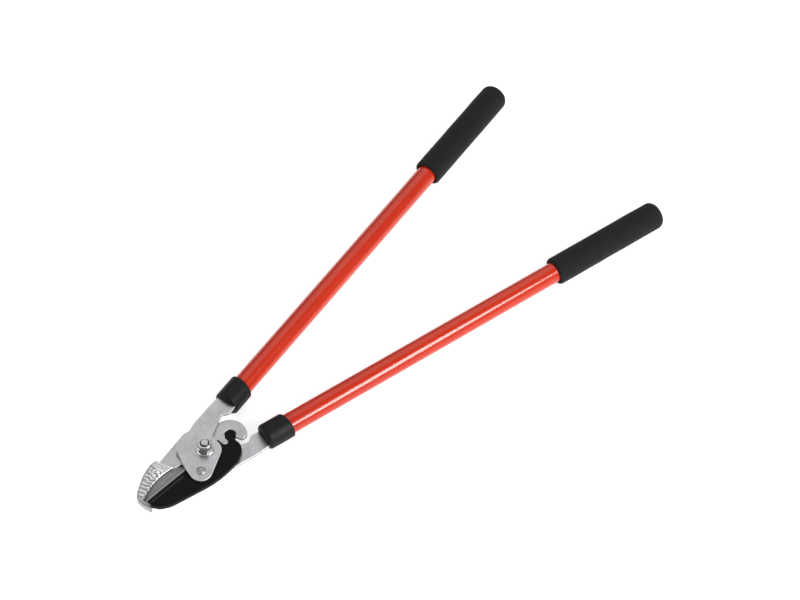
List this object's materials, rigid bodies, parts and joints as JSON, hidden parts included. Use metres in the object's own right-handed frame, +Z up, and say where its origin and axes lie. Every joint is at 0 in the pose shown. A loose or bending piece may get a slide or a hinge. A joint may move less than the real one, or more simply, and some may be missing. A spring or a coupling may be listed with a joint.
{
  "type": "anvil lopper",
  "caption": "Long-handled compound-action anvil lopper: a curved black blade closes on a ribbed, clawed anvil; pivoted arm plates, tubular handles and foam grips.",
  "frame": {"origin": "middle of the tool's box in X and Y, at the underside of the grips on which it lies", "axes": "+X from the jaws towards the grips along the centre line, +Y towards the upper handle, +Z up, normal to the jaws' plane and out of the nut's face"},
  "size_m": [0.724, 0.301, 0.0378],
  "materials": {
    "arm_steel": "satin, bead-blasted plate with bright rounded edges",
    "jaw_steel": "satin, bead-blasted plate",
    "cast_anvil": "bright cast surface with cross ribs",
    "coated_blade": "black low-friction coating with a bare ground bevel",
    "plated_steel": "bright zinc plating",
    "bush_bronze": "machined",
    "nylon": "nylon",
    "red_paint": "glossy red-orange paint",
    "collar_plastic": "satin moulded plastic",
    "grip_foam": "matt closed-cell foam",
    "insert_plastic": "moulded plastic"
  },
  "bodies": {
    "lower_handle": {"lower_arm": "arm_steel", "lower_tube": "red_paint", "lower_collar": "collar_plastic", "lower_grip": "grip_foam", "lower_tang_insert": "insert_plastic", "lower_tang_pin": "plated_steel", "pivot_bolt": "plated_steel", "pivot_bush": "bush_bronze", "bolt_washer": "plated_steel", "nut_washer": "plated_steel", "pivot_nut": "plated_steel", "nut_locking_ring": "nylon", "anvil_rivet": "plated_steel"},
    "upper_handle": {"upper_arm": "arm_steel", "upper_tube": "red_paint", "upper_collar": "collar_plastic", "upper_grip": "grip_foam", "upper_tang_insert": "insert_plastic", "upper_tang_pin": "plated_steel", "blade_rivet": "plated_steel"},
    "anvil_side": {"anvil_jaw": "jaw_steel", "anvil": "cast_anvil", "anvil_screw": "plated_steel", "anvil_screw_nut": "plated_steel"},
    "blade_side": {"blade": "coated_blade"}
  },
  "joints": [
    {"name": "handle_pivot", "type": "hinge", "parent": "lower_handle", "child": "upper_handle", "pos_m": [-0.26315, 0.0015, 0.0172], "axis": [0, 0, 1], "range_deg": [0, 45]},
    {"name": "anvil_pivot", "type": "hinge", "parent": "lower_handle", "child": "anvil_side", "pos_m": [-0.28665, 0.017, 0.0172], "axis": [0, 0, 1], "range_deg": [0, 17]},
    {"name": "blade_pivot", "type": "hinge", "parent": "upper_handle", "child": "blade_side", "pos_m": [-0.28665, -0.017, 0.0172], "axis": [0, 0, 1], "range_deg": [-12.5, 0]}
  ],
  "couplings": [
    {"joint": "anvil_pivot", "follows": "handle_pivot", "ratio": 0.374},
    {"joint": "blade_pivot", "follows": "handle_pivot", "ratio": -0.2718}
  ]
}
